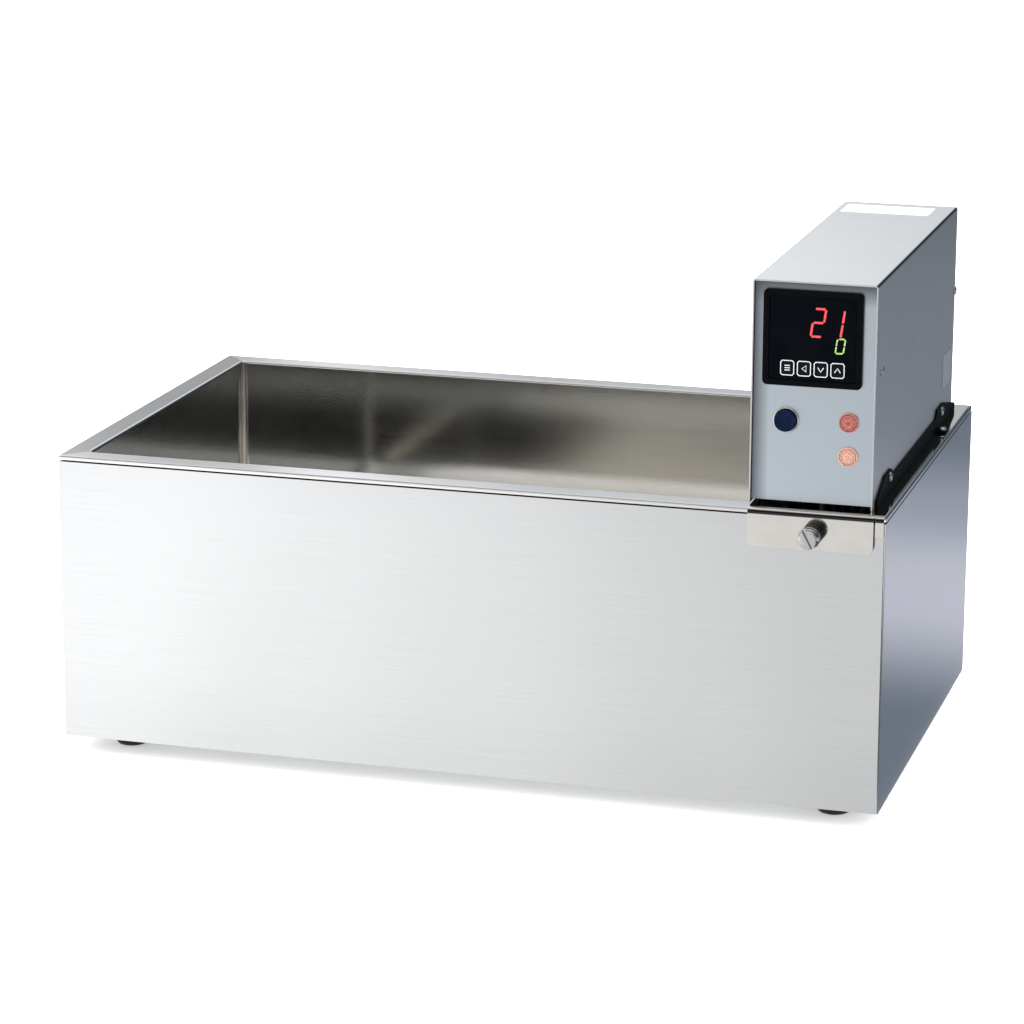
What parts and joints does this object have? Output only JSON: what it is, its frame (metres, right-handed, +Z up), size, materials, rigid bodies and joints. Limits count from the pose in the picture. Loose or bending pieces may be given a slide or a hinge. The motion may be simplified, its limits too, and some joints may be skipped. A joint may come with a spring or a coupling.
{
  "type": "laboratory water bath",
  "caption": "Rectangular stainless laboratory water bath on rubber feet, with a lift-off control head clamped across its right end.",
  "frame": {"origin": "under the middle of the whole bath's box, on the surface that the feet stand on", "axes": "+Z up, +X along the bath towards the end that carries the control head, +Y from the control panel to the back"},
  "size_m": [0.64, 0.394, 0.405],
  "materials": {
    "brushed_stainless": "fine straight brushing",
    "satin_stainless": "satin",
    "polished_stainless": "polished",
    "polished_chrome": "polished",
    "screw_steel": "bright",
    "galvanised_steel": "galvanised",
    "motor_steel": "dull",
    "heater_steel": "drawn",
    "anodised_aluminium": "anodised",
    "brass": "turned",
    "black_rubber": "moulded",
    "key_rubber": "smooth",
    "mineral_wool": "matted",
    "black_enamel": "baked gloss",
    "bezel_plastic": "fine grain",
    "case_plastic": "moulded",
    "smoked_acrylic": "polished",
    "circuit_board": "solder mask",
    "navy_plastic": "smooth",
    "red_lens": "clear moulding",
    "orange_lens": "clear moulding",
    "white_nylon": "moulded",
    "blank_foil": "satin foil"
  },
  "bodies": {
    "bath": {"outer_casing": "brushed_stainless", "back_panel": "brushed_stainless", "base_plate": "galvanised_steel", "foot_front_left": "black_rubber", "foot_front_right": "black_rubber", "foot_back_left": "black_rubber", "foot_back_right": "black_rubber", "inner_tank": "brushed_stainless", "rim_seal": "black_rubber", "insulation_blanket": "mineral_wool"},
    "control_head": {"head_cover": "brushed_stainless", "face_panel": "satin_stainless", "rear_panel": "satin_stainless", "mounting_plate": "polished_stainless", "side_bracket": "black_enamel", "ear_screw_front": "screw_steel", "ear_screw_back": "screw_steel", "cover_screw_front": "screw_steel", "cover_screw_back": "screw_steel", "rim_screw": "screw_steel", "clamp_bush": "screw_steel", "controller_bezel": "bezel_plastic", "display_window": "smoked_acrylic", "controller_case": "case_plastic", "display_board": "circuit_board", "display_module": "smoked_acrylic", "power_button_ring": "polished_chrome", "power_switch_body": "case_plastic", "level_lamp_lens": "red_lens", "level_lamp_holder": "case_plastic", "output_lamp_lens": "orange_lens", "output_lamp_holder": "case_plastic", "cord_gland": "case_plastic", "fuse_holder": "case_plastic", "rating_plate": "blank_foil", "heater_element": "heater_steel", "heater_gland_left": "brass", "heater_gland_right": "brass", "temperature_probe": "heater_steel", "probe_gland": "brass", "level_switch_stem": "heater_steel", "float_stop": "white_nylon", "stirrer_motor": "motor_steel", "shaft_bush": "white_nylon", "board_bracket": "galvanised_steel", "circuit_board": "circuit_board", "relay_heat_sink": "anodised_aluminium", "heater_relay": "case_plastic", "transformer": "motor_steel", "terminal_block": "white_nylon"},
    "clamp_stud": {"clamp_stud": "screw_steel"},
    "clamp_knob": {"clamp_knob": "polished_chrome"},
    "power_button": {"power_button": "navy_plastic"},
    "mode_key": {"mode_key": "key_rubber"},
    "shift_key": {"shift_key": "key_rubber"},
    "down_key": {"down_key": "key_rubber"},
    "up_key": {"up_key": "key_rubber"},
    "stirrer": {"stirrer_shaft": "heater_steel", "stirrer_impeller": "heater_steel"},
    "level_float": {"level_float": "white_nylon"}
  },
  "joints": [
    {"name": "head_lift", "type": "slide", "parent": "bath", "child": "control_head", "axis": [0, 0, 1], "range_m": [0, 0.2]},
    {"name": "clamp_travel", "type": "slide", "parent": "control_head", "child": "clamp_stud", "axis": [0, -1, 0], "range_m": [0, 0.004]},
    {"name": "clamp_turn", "type": "hinge", "parent": "clamp_stud", "child": "clamp_knob", "pos_m": [0.2675, -0.19695, 0.2235], "axis": [0, -1, 0], "range_deg": [0, 1441]},
    {"name": "power_press", "type": "slide", "parent": "control_head", "child": "power_button", "axis": [0, 1, 0], "range_m": [0, 0.003], "stiffness_N_per_m": 600, "springref_m": -0.001},
    {"name": "mode_key_press", "type": "slide", "parent": "control_head", "child": "mode_key", "axis": [0, 1, 0], "range_m": [0, 0.0005], "stiffness_N_per_m": 2000, "springref_m": -0.0005},
    {"name": "shift_key_press", "type": "slide", "parent": "control_head", "child": "shift_key", "axis": [0, 1, 0], "range_m": [0, 0.0005], "stiffness_N_per_m": 2000, "springref_m": -0.0005},
    {"name": "down_key_press", "type": "slide", "parent": "control_head", "child": "down_key", "axis": [0, 1, 0], "range_m": [0, 0.0005], "stiffness_N_per_m": 2000, "springref_m": -0.0005},
    {"name": "up_key_press", "type": "slide", "parent": "control_head", "child": "up_key", "axis": [0, 1, 0], "range_m": [0, 0.0005], "stiffness_N_per_m": 2000, "springref_m": -0.0005},
    {"name": "stirrer_turn", "type": "hinge", "parent": "control_head", "child": "stirrer", "pos_m": [0.263, 0.03993, 0.1133], "axis": [0, 0, 1], "continuous": true},
    {"name": "float_rise", "type": "slide", "parent": "control_head", "child": "level_float", "axis": [0, 0, 1], "range_m": [0, 0.015]}
  ],
  "couplings": [
    {"joint": "clamp_turn", "follows": "clamp_travel", "rad_per_m": 6283.2}
  ]
}
